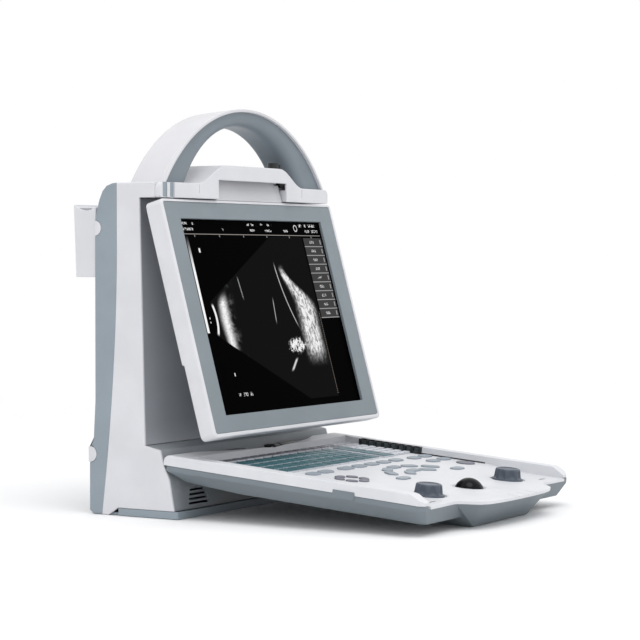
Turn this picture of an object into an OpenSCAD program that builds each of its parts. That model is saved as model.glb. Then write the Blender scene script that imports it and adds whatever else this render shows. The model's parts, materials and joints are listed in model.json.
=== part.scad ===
// Portable ultrasound scanner: an upright housing with a carry handle, a
// screen that tilts from the top and a keyboard that folds down in front.
// Millimetres. X runs to the operator's right, Y to the back and Z up.
// The origin is on the table, under the middle of the housing.

/* [Housing] */
// Half of the housing's width
half_w = 146.6; // [146:0.1:147.2]
// Wall thickness of the moulded shells
wall = 2.5; // [2:0.1:2.6]
// Height of the housing's flat top
top_z = 304.5; // [304:0.1:305]
// Height of the raised middle of the hood
bump_z = 322.5; // [322:0.1:323.5]

/* [Handle] */
// Outer radius of the handle's white band at the front
handle_r = 169.6; // [169:0.1:170]
// Radius of the opening under the handle
grip_r = 111.5; // [110:0.5:113]

/* [Screen] */
// Lean of the screen from the vertical, in degrees
screen_tilt = 15.54; // [15:0.02:15.6]
// Width of the display's lit area
lcd_w = 245.8; // [240:0.2:246.4]
// Height of the display's lit area
lcd_h = 184.3; // [180:0.1:185]
// Radius of the pin that the screen swings on
screen_pin_r = 3; // [2.5:0.1:3.2]

/* [Keyboard] */
// Slope of the keyboard when it is down, in degrees
kb_tilt = 4.8; // [4.6:0.1:4.9]
// Distance from one letter key to the next along a row
key_pitch = 15; // [14.6:0.1:15]
// Distance from one row of letter keys to the next
row_pitch = 15.4; // [15.2:0.1:15.4]
// Height of the key tops above the deck
key_rise = 2.1; // [1.7:0.1:2.3]
// Height of the oval and curved keys above the deck
low_rise = 1.2; // [1:0.1:1.6]
// Radius of the tracking ball
ball_r = 14; // [13.5:0.5:14]

/* [Hidden] */

WHITE = [0.85, 0.85, 0.87];
GREY = [0.56, 0.61, 0.65];
DARK_GREY = [0.40, 0.42, 0.44];
BLACK = [0.08, 0.08, 0.09];
STEEL = [0.70, 0.71, 0.72];
BOARD_GREEN = [0.10, 0.35, 0.20];
TEAL = [0.20, 0.40, 0.44];
PALE = [0.62, 0.68, 0.72];

// Gap left between separate mouldings and around moving keys
gap = 0.3;
in_w = half_w - wall;

// Side profile of the housing as [y, z], up the front
base_front = [[-45.4, 7], [-40, 35.6], [-34, 48], [-32, 55.1], [-30.1, 61.8], [-13.3, 65.3]];
hood_under = 290.5;
hood_back = -25;
hood_front = -31.5;
// Hood's front bows forward between its ends
hood_bow = 6.2;
bow_r = (half_w * half_w + hood_bow * hood_bow) / (2 * hood_bow);
bow_y = hood_front - hood_bow + bow_r;
// Handle: height of its centre, and radius where the band meets the grip
handle_z = 208.25;
band_r = handle_r - 2.7;
rear_line = [
    [17.5, top_z], [23, top_z - 0.4], [29.5, 301.8], [34.2, 297], [37.1, 290.6], [42.3, 270],
    [42.5, 110], [44.8, 70.8], [49, 63], [49, 3], [46, 0], [35, 0]
];

// Screen: point on the display's top edge, and the swing axis seen from it
screen_y = -37.5;
screen_z = 272;
swing_y = 6.6;
swing_z = 43.4;
shell_hw = 149;
shell_top = 18.4;
shell_bottom = -204;
shell_d = 17.5;
bezel_hw = 145.5;
bezel_top = 15.8;
bezel_bottom = -200.2;

// Keyboard: hinge axis, deck level and rim level above the axis
axis_y = -41.5;
axis_z = 50.5;
rim_n = 7.3;
seam_n = -2.2;
deck_n = 0.3;
rail_w = 12.6;
deck_hw = half_w - rail_w;
rear_u = 18;
front_u = 260;
nose_u = 283;
// The deck steps down between these distances, in front of the keys
drop_u = [182, 206];
front_drop = 3;
hinge_pin_r = 2.5;
bracket_x = [30, 72];
knuckle_x = 51;

// Layout of the keys, as distances forward of the hinge axis
function_u = 27.5;
letters_u = 44.5;
letters_x = -121;
letters_in_row = 13;
small_x = 100.5;
small_step = [11.2, 9.6];
knob_x = 78;
knob_u = 228;
tgc_u = 36;
tgc_pitch = 8.6;

function unit(v) = v / norm(v);
function arc(c, r, a0, a1, n) =
    [for (i = [0:n]) let (a = a0 + (a1 - a0) * i / n) c + r * [cos(a), sin(a)]];
function turn(d) = d > 180 ? d - 360 : d < -180 ? d + 360 : d;
// Rounds the corner at b, between a and c, with radius r
function corner(a, b, c, r) =
    let (p = unit(a - b), q = unit(c - b), half = acos(p * q) / 2)
    let (m = b + unit(p + q) * r / sin(half))
    let (s = b + p * r / tan(half) - m, e = b + q * r / tan(half) - m)
    let (a0 = atan2(s.y, s.x))
    arc(m, r, a0, a0 + turn(atan2(e.y, e.x) - a0), 6);
// Rounds each corner of a closed outline with its own radius
function rounded(pts, radii) =
    let (n = len(pts))
    [for (i = [0:n - 1])
        each (radii[i] > 0
            ? corner(pts[(i + n - 1) % n], pts[i], pts[(i + 1) % n], radii[i])
            : [pts[i]])];
// Same radius at every corner
function rounded_all(pts, r) = rounded(pts, [for (p = pts) r]);
function box_pts(x0, y0, x1, y1) = [[x0, y0], [x1, y0], [x1, y1], [x0, y1]];
function reversed(pts) = [for (i = [len(pts) - 1:-1:0]) pts[i]];
function mirrored(pts) = concat(pts, [for (p = reversed(pts)) [-p.x, p.y]]);
// Line parallel to an open line, at distance d on its right
function beside(pts, d) =
    let (n = len(pts))
    [for (i = [0:n - 1])
        let (a = i > 0 ? unit(pts[i] - pts[i - 1]) : unit(pts[1] - pts[0]))
        let (b = i < n - 1 ? unit(pts[i + 1] - pts[i]) : a)
        let (na = [a.y, -a.x], nb = [b.y, -b.x])
        pts[i] + (na + nb) * d / (1 + na * nb)];
// Quadratic curve from a to c, pulled towards b
function bend(a, b, c, n) =
    [for (i = [0:n]) let (t = i / n) a * (1 - t) * (1 - t) + b * 2 * t * (1 - t) + c * t * t];
// Half of a smooth step from a to b, level at both ends
function s_curve(a, b, n) =
    [for (i = [0:n]) let (t = i / n)
        [a.x + (b.x - a.x) * t, a.y + (b.y - a.y) * (1 - cos(180 * t)) / 2]];

// Joint line between the white and the grey shell, from the top down
seam_top = 243;
seam_line = [for (i = [0:12]) let (t = i / 12)
    [17.5 + 17.5 * pow(t, 1.8), seam_top * (1 - t)]];

module along_x(x0, x1) {
    translate([x0, 0, 0]) rotate([90, 0, 90]) linear_extrude(x1 - x0) children();
}
module along_y(y0, y1) {
    translate([0, y1, 0]) rotate([90, 0, 0]) linear_extrude(y1 - y0) children();
}
module rod_x(x0, x1, r) {
    translate([x0, 0, 0]) rotate([0, 90, 0]) cylinder(r = r, h = x1 - x0, $fn = 48);
}
module rod_y(y0, y1, r) {
    translate([0, y0, 0]) rotate([-90, 0, 0]) cylinder(r = r, h = y1 - y0, $fn = 48);
}
module block(lo, hi) {
    translate(lo) cube(hi - lo);
}
// Screen's own axes: X right, Y into the screen, Z up along it
module on_screen() {
    translate([0, screen_y, screen_z]) rotate([-screen_tilt, 0, 0]) children();
}
// Keyboard's own axes: X right, Y to the back along the deck, Z out of it
module on_keyboard() {
    translate([0, axis_y, axis_z]) rotate([kb_tilt, 0, 0]) children();
}

// ---------------------------------------------------------------- housing
side_front = concat(base_front, [[-7.5, hood_under], [hood_back, hood_under],
    [hood_back, top_z], [17.5, top_z]], seam_line, [[28, 0], [17, 7]]);

module front_shell() {
    color(WHITE) difference() {
        union() {
            along_x(-half_w, -in_w) polygon(side_front);
            along_x(in_w, half_w) polygon(side_front);
            along_x(-in_w, in_w) polygon([[hood_back, hood_under], [hood_back, top_z],
                [17.5, top_z], [17.5, top_z - wall], [hood_back + wall, top_z - wall],
                [hood_back + wall, hood_under + wall], [-4.5, hood_under + wall],
                [-4.5, hood_under]]);
            along_x(-in_w, in_w) polygon(concat(base_front, reversed(beside(base_front, wall))));
        }
        block([-60.5, hood_back - 1, hood_under - 1], [60.5, -3.5, top_z + 1]);
        for (i = [0:3]) {
            block([-121 + i * 1.5, -60, 11 + i * 4], [-89 - i * 1.5, -20, 12.8 + i * 4]);
        }
        for (s = [-1, 1], x = bracket_x) {
            block([s * x - 5.4, -50, axis_z - 5.4], [s * x + 5.4, -20, axis_z + 3.6]);
        }
        for (i = [0:1]) {
            translate([half_w - 3, 8.5, 150 + i * 34]) rod_x(0, 10, 9);
        }
    }
}

module rear_shell() {
    inner = beside(rear_line, wall);
    outline = concat(rear_line, reversed(seam_line));
    color(GREY) difference() {
        union() {
            difference() {
                along_x(-half_w, half_w) polygon(outline);
                along_x(-in_w, in_w) polygon(concat(inner, [[10, 2.5], [10, top_z - wall]]));
            }
            for (s = [-1, 1], z = [100, 262]) {
                translate([s * 112, 0, z]) rod_y(19, 41, 4);
            }
        }
        bumper_solids(0.1);
        for (s = [-1, 1], z = [24, 240]) {
            translate([s * 132, 0, z]) rod_y(20, 60, 2.1);
            translate([s * 132, 0, z]) rod_y(z < 60 ? 47.4 : 40.9, 60, 4.1);
        }
        translate([-132, 0, 109.5]) rod_y(30, 60, 4.1);
        translate([-132, 0, 109.5]) rod_y(42.5, 60, 6.3);
        block([62, 40, 14], [112, 60, 46]);
        translate([30, 0, 30]) rod_y(40, 60, 5.1);
        translate([8, 0, 30]) rod_y(40, 60, 3.1);
        for (i = [0:7]) {
            block([-126 + i * 6, 40, 16], [-123 + i * 6, 60, 50]);
        }
    }
}

module recess_panel() {
    face = concat([[-1.8, hood_under - 0.2]], bend([-6.3, 92], [-6.3, 72], [-12.6, 65.7], 6));
    color(DARK_GREY) along_x(-in_w + 0.1, in_w - 0.1)
        polygon(concat(face, reversed(beside(face, -wall))));
}

module base_plate() {
    color(GREY) difference() {
        union() {
            block([-half_w, -49.8, 0], [half_w, 16.8, 6.8]);
            block([-in_w + 0.1, 16.8, 0], [in_w - 0.1, 34.6, wall]);
        }
        block([-in_w, -47, wall], [in_w, 14.5, 10]);
        pad_solids(8.1);
        for (s = [-1, 1]) {
            translate([s * 50, -20, -1]) cylinder(r = 2.2, h = 10, $fn = 32);
            translate([s * 50, 10, -1]) cylinder(r = 2.2, h = 10, $fn = 32);
        }
    }
}

module pad_solids(r) {
    for (x = [-122, 122], y = [-34, 20]) {
        translate([x, y, 0]) cylinder(r = r, h = 1, $fn = 48);
    }
}

module base_pads() {
    color(BLACK) pad_solids(8);
}

// Front view of the hood's top edge, from the right end to the left
hood_edge = mirrored(s_curve([93, top_z], [47, bump_z], 10));

module bump_outline(inset) {
    polygon([for (p = hood_edge) [p.x * (1 - inset / 70), p.y - inset]]);
}

// Everything behind the hood's bowed front, set back by inset
module behind_bow(inset) {
    translate([0, bow_y, 280]) cylinder(r = bow_r - inset, h = 60, $fn = 360);
}

module hood_cover() {
    outline = rounded(box_pts(-half_w, hood_under, half_w, top_z), [2, 2, 6, 6]);
    far = hood_front - hood_bow - 1;
    color(WHITE) difference() {
        union() {
            difference() {
                intersection() {
                    union() {
                        along_y(far, hood_back) polygon(outline);
                        along_y(far, 5) bump_outline(0);
                    }
                    behind_bow(0);
                }
                intersection() {
                    union() {
                        along_y(far, 5 - wall) bump_outline(wall);
                        for (s = [-1, 1]) {
                            block([min(s * 84, s * 120), far, hood_under + wall],
                                [max(s * 84, s * 120), 0, top_z - wall]);
                        }
                    }
                    behind_bow(wall);
                }
                block([-59.5, far - 1, hood_under - 1], [59.5, 2.5, 308.3]);
            }
            intersection() {
                along_y(-26, -10) bump_outline(0.5);
                for (s = [-1, 1]) {
                    block([s * 54 - 3.5, -26, 307.6], [s * 54 + 3.5, -13, 322]);
                }
            }
        }
        on_screen() translate([0, swing_y, swing_z]) rod_x(-57.5, 57.5, screen_pin_r);
        block([-143.5, -40, hood_under - 1], [-126.5, -31.4, top_z + 1]);
        block([-143.5, -32, 294.5], [-126.5, hood_back + 1, 300.9]);
        for (s = [-1, 1]) {
            block([s * 90 - 0.3, -40, 295.5], [s * 90 + 0.3, -34.3, 303]);
        }
        jack_solids(0.05);
    }
}

module latch_slide() {
    color(WHITE) {
        block([-136.9, -32.2, hood_under + 0.3], [-132.6, -31.5, top_z - 0.3]);
        block([-136, -31.5, 294.8], [-133.5, -26, 300.6]);
    }
}

// Part of a ring above the housing's top, swept about a centre at height z
module handle_ring(profile, z) {
    intersection() {
        translate([0, 0, z]) rotate([-90, 0, 0]) rotate_extrude($fn = 160) polygon(profile);
        block([-200, -60, top_z], [200, 60, 400]);
    }
}

module handle_shell() {
    color(WHITE) handle_ring(rounded([[band_r, -30.5], [handle_r, -30.5], [handle_r - 0.1, -26],
        [handle_r - 3, 10.4], [160, 10.4], [160, 5.7], [band_r - 3.2, 5.7], [band_r, -27.6]],
        [0.5, 0.9, 0, 2.4, 1, 0, 0, 0]), handle_z);
}

module handle_grip() {
    opening = concat([[0, -40], [grip_r + 11, -40]],
        bend([grip_r + 11, -27.7], [grip_r, -27.7], [grip_r, -15], 6),
        bend([grip_r, 1], [grip_r, 5.6], [grip_r + 5, 5.6], 3), [[grip_r + 5, 9], [0, 9]]);
    color(GREY) difference() {
        handle_ring([[band_r - 0.1, -27.6], [band_r - 3.3, 5.5], [120, 5.5], [120, -27.6]],
            handle_z);
        translate([0, 0, 249.5]) rotate([-90, 0, 0]) rotate_extrude($fn = 160) polygon(opening);
    }
}

// Half-round bumpers let into the back corners; grow widens them for their seats
module bumper_solids(grow) {
    for (s = [-1, 1]) {
        intersection() {
            translate([s * (half_w - 3.6), 42.5, 263]) rod_x(-4 - grow, 4 + grow, 7 + grow);
            block([-160, 30, 250], [160, 42.4 + grow, 280]);
        }
        intersection() {
            translate([s * (half_w - 3.6), 48.6, 55]) rod_x(-4 - grow, 4 + grow, 7.3 + grow);
            block([-160, 30, 40], [160, 50.2 + grow, 70]);
        }
    }
}

module rear_bumpers() {
    color(WHITE) bumper_solids(0);
}

module probe_holder() {
    rim = concat([[42.6, 218], [65.4, 218], [68, 284], [66.2, 285]],
        arc([53.4, 298.6], 19.2, -50, -100, 8), [[42.6, 282.4]]);
    color(WHITE) difference() {
        along_x(-145, -83) polygon(rim);
        block([-142.8, 45.2, 221], [-85.2, 63.2, 300]);
        block([-125, 44, 210], [-103, 60, 230]);
    }
}

module fuse_cap() {
    color(BLACK) translate([-132, 0, 109.5]) {
        rod_y(36, 42.5, 4);
        rod_y(42.5, 46.5, 6);
        rod_y(46.5, 49, 5.2);
    }
}

module mains_inlet() {
    color(BLACK) difference() {
        union() {
            block([62.2, 26, 14.2], [111.8, 49, 45.8]);
            block([59.5, 49, 11.5], [114.5, 51, 48.5]);
        }
        translate([0, 51.5, 0]) along_y(-17, 0)
            polygon(rounded([[65, 18.5], [90, 18.5], [90, 34], [85, 39.5], [70, 39.5], [65, 34]],
                [1, 1, 0, 0, 0, 0]));
        block([96.4, 30, 19.8], [109.6, 60, 40.2]);
    }
    color(STEEL) {
        for (p = [[71, 26], [84, 26], [77.5, 32.5]]) {
            block([p.x - 1, 34.4, p.y - 2], [p.x + 1, 45, p.y + 2]);
        }
    }
}

module power_rocker() {
    color(BLACK) translate([103, 44.4, 30]) along_x(-6.2, 6.2)
        polygon(concat([[-6, -7.5]], bend([3.4, -9.4], [3.2, 0], [6, 8.6], 6), [[-6, 7.5]]));
}

module video_jack() {
    color(STEEL) translate([30, 0, 30]) difference() {
        union() {
            rod_y(38, 51, 5);
            rod_y(49, 50.6, 8);
            rod_y(50.6, 61, 4.8);
            translate([0, 58, 0]) rotate([0, 90, 0]) cylinder(r = 1, h = 11.2, center = true, $fn = 24);
        }
        rod_y(52, 62, 3.7);
    }
}

module earth_post() {
    color(STEEL) translate([8, 0, 30]) {
        rod_y(38, 49, 3);
        rod_y(49, 50.5, 6);
        rod_y(50.5, 62.5, 3);
    }
}

module probe_ports() {
    color(DARK_GREY) for (i = [0:1]) {
        translate([0, 8.5, 150 + i * 34]) difference() {
            union() {
                rod_x(126, half_w, 8.8);
                rod_x(half_w, half_w + 1.4, 9.9);
            }
            rod_x(134, half_w + 2, 7.4);
        }
    }
    color(STEEL) for (i = [0:1]) {
        translate([0, 8.5, 150 + i * 34]) rod_x(134, 140, 4.4);
    }
}

module fan_frame() {
    color(BLACK) translate([-104, 0, 34]) difference() {
        block([-25, 24, -25], [25, 36, 25]);
        rod_y(20, 40, 23);
    }
    color(BLACK) translate([-104, 0, 34]) {
        rod_y(34, 36, 8);
        rod_y(28, 34.5, 1.5);
        for (a = [0:90:270]) {
            rotate([0, a, 0]) block([6, 34.2, -1], [24, 35.8, 1]);
        }
    }
}

module fan_rotor() {
    color(DARK_GREY) translate([-104, 0, 34]) {
        difference() {
            rod_y(25.5, 33.5, 9);
            rod_y(27.5, 40, 1.56);
        }
        for (i = [0:6]) {
            rotate([0, i * 360 / 7, 0]) translate([8, 27, -3]) rotate([28, 0, 0])
                cube([13.5, 1.4, 9]);
        }
    }
}

module main_board() {
    color(BOARD_GREEN) block([-122, 17, 84], [122, 18.6, 276]);
    color(BLACK) {
        for (x = [-70, 0, 62]) {
            block([x - 15, 15, 170], [x + 15, 17, 200]);
        }
        block([-100, 13, 92], [100, 17, 98]);
        block([-20, 12, 222], [30, 17, 256]);
    }
}

module power_supply() {
    color(STEEL) block([-74, -14, 8], [54, 34, 56]);
}

module shell_screws() {
    color(STEEL) for (s = [-1, 1], z = [24, 240]) {
        y = z < 60 ? 47.4 : 40.9;
        translate([s * 132, 0, z]) difference() {
            union() {
                rod_y(y - 12, y, 2);
                rod_y(y, y + 1.4, 3.9);
            }
            block([-2.2, y + 0.8, -0.4], [2.2, y + 2, 0.4]);
            block([-0.4, y + 0.8, -2.2], [0.4, y + 2, 2.2]);
        }
    }
}

module keyboard_brackets() {
    color(DARK_GREY) for (s = [-1, 1], x = bracket_x) {
        difference() {
            union() {
                translate([s * x, axis_y, axis_z]) rod_x(-4.8, 4.8, 5);
                block([s * x - 4.8, axis_y, axis_z - 5], [s * x + 4.8, -26, axis_z + 3]);
                block([s * x - 4.8, -28, 30], [s * x + 4.8, -24, axis_z + 3]);
            }
            translate([s * x, axis_y, axis_z]) rod_x(-6, 6, hinge_pin_r);
        }
    }
}

module keyboard_pins() {
    color(STEEL) for (s = [-1, 1]) {
        translate([s * knuckle_x, axis_y, axis_z]) rod_x(-25.8, 25.8, hinge_pin_r);
    }
}

module screen_pin() {
    color(STEEL) on_screen() translate([0, swing_y, swing_z]) rod_x(-57.5, 57.5, screen_pin_r);
}

// Round jack and two pins beside it; grow widens them for their holes
module jack_solids(grow) {
    translate([63.8, -18, 307.6]) cylinder(r = 5.5 + grow, h = 21.4, $fn = 40);
    pin_solids(grow);
}
module pin_solids(grow) {
    for (x = [72.3, 75.2]) {
        translate([x, -18, 306]) cylinder(r = 1.1 + grow, h = 22, $fn = 24);
    }
}
module top_jack() {
    color(BLACK) jack_solids(0);
    color(STEEL) pin_solids(0);
}

// ----------------------------------------------------------------- screen
module screen_plate(y0, y1, hw, z0, z1, r) {
    along_y(y0, y1) polygon(rounded_all(box_pts(-hw, z0, hw, z1), r));
}

module screen_shell() {
    color(WHITE) on_screen() difference() {
        screen_plate(0, shell_d, shell_hw, shell_bottom, shell_top, 5);
        screen_plate(-1, 3.4, bezel_hw, bezel_bottom, bezel_top, 2.5);
        screen_plate(3, 6.5, bezel_hw - 3, bezel_bottom + 3, bezel_top - 3, 2);
        screen_plate(6, shell_d + 1, bezel_hw, bezel_bottom - 1, bezel_top, 2);
        block([-160, 15.5, shell_bottom - 1], [160, 20, -133.2]);
        block([-50.3, 6.3, 10], [50.3, 12.7, 20]);
    }
}

module screen_bezel() {
    w = lcd_w / 2;
    color(GREY) on_screen() difference() {
        screen_plate(0.5, 3.3, bezel_hw - 0.2, bezel_bottom + 0.2, bezel_top - 0.2, 2.4);
        along_y(0, 4) polygon(box_pts(-w, -lcd_h, w, 0));
    }
}

module lcd_panel() {
    color([0.02, 0.02, 0.03]) on_screen()
        screen_plate(3.4, 6.2, 127, -lcd_h - 4, 4, 1);
}

module lcd_frame() {
    color(STEEL) on_screen() difference() {
        screen_plate(6.5, 10.5, 130, -lcd_h - 7, 6, 1.5);
        block([-110, 6, -140], [110, 7.5, -40]);
    }
}

module screen_board() {
    color(BOARD_GREEN) on_screen() block([-70, 11, -120], [70, 12.4, -50]);
}

module screen_back() {
    color(WHITE) on_screen() difference() {
        union() {
            screen_plate(15.2, 17.4, bezel_hw - 0.2, -133, bezel_top - 0.2, 2);
            screen_plate(13.2, 15.4, bezel_hw - 0.2, bezel_bottom - 0.8, -133, 2);
            block([-140, 13.2, -136], [140, 17.4, -130]);
        }
        for (i = [0:9]) {
            block([-45 + i * 9, 12, -122], [-42 + i * 9, 19, -92]);
        }
    }
}

module hinge_block() {
    color(WHITE) on_screen() difference() {
        union() {
            along_x(-50, 50) polygon([[0, shell_top], [0, swing_z], [13.2, swing_z],
                [13.2, shell_top]]);
            translate([0, swing_y, swing_z]) rod_x(-50, 50, 6.6);
            block([-57.5, 0, shell_top], [57.5, 12, 36.2]);
            block([-50, 6.5, 8], [50, 12.5, shell_top]);
        }
        translate([0, swing_y, swing_z]) rod_x(-60, 60, screen_pin_r + 0.05);
    }
}

// --------------------------------------------------------------- keyboard
// Half of the keyboard's front edge, from the nose to the side
front_half = concat(bend([0, -nose_u], [48, -nose_u], [63, -nose_u + 4], 5),
    s_curve([66, -nose_u + 5.5], [90, -front_u], 6),
    [[140, -front_u - 1], [half_w, -front_u + 5]]);
kb_plan = mirrored(concat(front_half, [[half_w, 8]]));

// Rear edge: cut back in a shallow curve to make room for the hinge
module rear_cut(z0, z1, back) {
    translate([0, 244 + back, z0]) cylinder(r = 262, h = z1 - z0, $fn = 160);
}

module key_plan(w, h, grow) {
    r = grow > 0 ? 0 : 1;
    square([w + grow - 2 * r, h + grow], center = true);
    if (r > 0) {
        square([w, h - 2 * r], center = true);
        for (x = [r - w / 2, w / 2 - r], y = [r - h / 2, h / 2 - r]) {
            translate([x, y]) circle(r = r, $fn = 24);
        }
    }
}
// Key with straight sides and round ends
module oval_plan(w, h) {
    square([w - h, h], center = true);
    for (s = [-1, 1]) {
        translate([s * (w - h) / 2, 0]) circle(r = h / 2, $fn = 32);
    }
}
// Each set of keys as flat outlines; grow makes the holes around them
module function_keys(grow) {
    for (i = [0:13]) {
        translate([letters_x + i * key_pitch, -function_u])
            key_plan(12.6, 7.6, grow);
    }
}
module letter_keys(row, grow) {
    y = -letters_u - (row - 1) * row_pitch;
    for (i = [0:letters_in_row - 1]) {
        translate([letters_x + i * key_pitch, y])
            key_plan(key_pitch - 2.3, row_pitch - 2.6, grow);
    }
    translate([84.6, y]) key_plan(19.2, row_pitch - 2.6, grow);
}
module small_keys(grow) {
    for (i = [0:2], j = [0:7]) {
        translate([small_x + i * small_step.x, -26 - j * small_step.y])
            key_plan(9.8, 6, grow);
    }
}
oval_spots = [[-84, 113, 18], [-62, 113, 20], [-26, 113, 22], [-1, 113, 19], [22, 113, 19],
    [45, 113, 19], [69, 113, 19], [100, 116, 18], [122, 116, 18], [100, 137, 18],
    [122, 137, 18]];
module oval_keys(grow) {
    for (s = oval_spots) {
        translate([s.x, -s.y]) oval_plan(s.z + grow, 11 + grow);
    }
}
// Curved rows of keys around the middle of the deck, as angle and radius
arc_centre = [24, 184];
arc_spots = [[-52, 48], [-26, 48], [0, 48], [26, 48], [52, 48], [-38, 27], [0, 27], [38, 27]];
module arc_keys(grow) {
    for (s = arc_spots) {
        translate([arc_centre.x, -arc_centre.y]) rotate(-s.x) translate([0, s.y])
            oval_plan(18 + grow, 10 + grow);
    }
    for (x = [-30, 76]) {
        translate([x, -176]) oval_plan(18 + grow, 10 + grow);
    }
}
module cursor_keys(grow) {
    for (a = [0:60:300]) {
        translate([-78, -150]) rotate(a) translate([0, 12.5]) oval_plan(11 + grow, 8 + grow);
    }
    translate([118, -163]) circle(r = 9 + grow / 2, $fn = 48);
}
module key_solids(rise) {
    on_keyboard() translate([0, 0, -3.8]) linear_extrude(3.8 + deck_n + rise) children();
}

module keyboard_top() {
    rail = rounded([[-front_u + 1, seam_n], [-front_u + 1, 0.5], [-front_u + 13, rim_n],
        [7.2, rim_n], [7.2, seam_n]], [0, 1, 8, 6, 0]);
    rear = rounded([[-rear_u, seam_n], [-rear_u, rim_n], [7.2, rim_n], [7.2, seam_n]],
        [0, 0.8, 6, 0]);
    deck = [[-nose_u - 5, seam_n - front_drop], [-nose_u - 5, deck_n - front_drop],
        [-drop_u[1], deck_n - front_drop], [-drop_u[0], deck_n], [0, deck_n], [0, seam_n],
        [-drop_u[0], seam_n], [-drop_u[1], seam_n - front_drop]];
    color(WHITE) on_keyboard() difference() {
        intersection() {
            translate([0, 0, -20]) linear_extrude(40) polygon(kb_plan);
            union() {
                along_x(-half_w, -deck_hw) polygon(rail);
                along_x(deck_hw, half_w) polygon(rail);
                along_x(-deck_hw, deck_hw) polygon(rear);
                along_x(-deck_hw, deck_hw) polygon(deck);
                for (s = [-1, 1]) {
                    block([s * (deck_hw + 1) - 1.2, -front_u + 2, seam_n - front_drop],
                        [s * (deck_hw + 1) + 1.2, -drop_u[0], 1]);
                }
            }
        }
        rear_cut(-20, 20, 0);
        for (s = [-1, 1]) {
            x = s * (half_w - rail_w / 2);
            block([x - 3.6, -243, seam_n - 1], [x + 3.6, -rear_u, rim_n - 2.2]);
            translate([s * knob_x, -knob_u, -10]) cylinder(r = 4.88, h = 20, $fn = 48);
            translate([s * knob_x, -knob_u, -0.7 - front_drop]) cylinder(r = 16.4, h = 8, $fn = 64);
            block([s * 110 - 6, -250, -10], [s * 110 + 6, -247, 5]);
        }
        block([deck_hw - 3.5, -tgc_u - 8 * tgc_pitch - 1, seam_n - 1],
            [deck_hw + 4.6, -tgc_u + 1, rim_n + 1]);
        translate([0, -knob_u, -10]) cylinder(r = 17.1, h = 20, $fn = 64);
        for (x = [-9, 9, 27]) {
            block([x - 0.5, -nose_u - 5, -0.6 - front_drop], [x + 0.5, -nose_u + 12, 3]);
        }
        translate([0, 0, -10]) linear_extrude(20) {
            function_keys(2 * gap);
            small_keys(2 * gap);
            oval_keys(2 * gap);
            arc_keys(2 * gap);
            cursor_keys(2 * gap);
            for (row = [1:4]) {
                letter_keys(row, 2 * gap);
            }
        }
    }
}

// Grey lower shell: a tray with chamfered sides and a foot under its nose
module tray(t) {
    hw = half_w - t;
    rear = 4 - t;
    hull() {
        translate([0, 0, -7.2]) linear_extrude(5) polygon(mirrored(
            [[0, -front_u + t], [hw - 5, -front_u + t], [hw, -front_u + 5 + t], [hw, rear]]));
        translate([0, 0, -19.6 + t]) linear_extrude(1) polygon(mirrored(
            [[0, -front_u + 4 + t], [hw - 17, -front_u + 4 + t], [hw - 13, -front_u + 9 + t],
            [hw - 13, -70]]));
        translate([0, 0, -17 + t]) linear_extrude(1) polygon(mirrored([[0, -20], [hw - 13, -10 - t]]));
    }
}
module nose(t) {
    k = 1 - t / 80;
    hull() {
        translate([0, 0, seam_n - 0.5]) linear_extrude(0.5)
            polygon([for (p = mirrored(concat(front_half, [[90, -200]])))
                if (abs(p.x) < 91) [p.x * k, p.y + (p.y < -201 ? t : 0)]]);
        translate([0, -262 + t, -28.6 + t]) rotate([-kb_tilt, 0, 0])
            linear_extrude(0.4) polygon([[-54 * k, 0], [54 * k, 0], [46 * k, 46], [-46 * k, 46]]);
    }
}

module keyboard_base() {
    color(GREY) on_keyboard() difference() {
        union() {
            tray(0);
            nose(0);
        }
        tray(wall);
        difference() {
            nose(wall);
            block([-100, -300, -50], [100, -100, -27]);
        }
        block([-200, -300, seam_n], [200, 20, 20]);
        block([-deck_hw - 2.4, -300, seam_n - front_drop], [deck_hw + 2.4, -200, 20]);
        rear_cut(-40, 20, 0);
    }
}

module keyboard_board() {
    color(BOARD_GREEN) on_keyboard() difference() {
        block([-128, -205, -8.2], [126, -24, -6.6]);
        translate([0, -knob_u, -10]) cylinder(r = 30, h = 20, $fn = 48);
    }
}

module keyboard_knuckles() {
    color(DARK_GREY) on_keyboard() for (s = [-1, 1]) {
        difference() {
            union() {
                translate([s * knuckle_x, 0, 0]) rod_x(-15.6, 15.6, 5.5);
                block([s * knuckle_x - 15.6, -22, -5.5], [s * knuckle_x + 15.6, 0, seam_n - 0.3]);
            }
            translate([s * knuckle_x, 0, 0]) rod_x(-30, 30, hinge_pin_r + 0.05);
        }
    }
}

module tgc_housing() {
    x0 = deck_hw - 3.2;
    color(BLACK) on_keyboard() difference() {
        block([x0, -tgc_u - 8 * tgc_pitch - 0.7, -1.9], [deck_hw + 4.3, -tgc_u + 0.7, rim_n - 0.3]);
        for (i = [0:7]) {
            y = -tgc_u - (i + 0.5) * tgc_pitch;
            block([x0 - 1, y - 3.3, 0.8], [x0 + 6.3, y + 3.3, rim_n + 1]);
        }
    }
}

module tgc_slider(i) {
    x0 = deck_hw - 3.2;
    y = -tgc_u - (i - 0.5) * tgc_pitch;
    color(DARK_GREY) on_keyboard() {
        block([x0 + 0.2, y - 2.7, 1.1], [x0 + 3, y + 2.7, 2.4]);
        block([x0 + 1.1, y - 2.4, 2.4], [x0 + 2.1, y + 2.4, 6]);
    }
}

module finger_tab() {
    color(GREY) on_keyboard() translate([-half_w - 0.7, -182, seam_n]) intersection() {
        rod_x(0, 0.7, 11);
        block([-1, -12, -4], [2, 12, 3]);
    }
}

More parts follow.
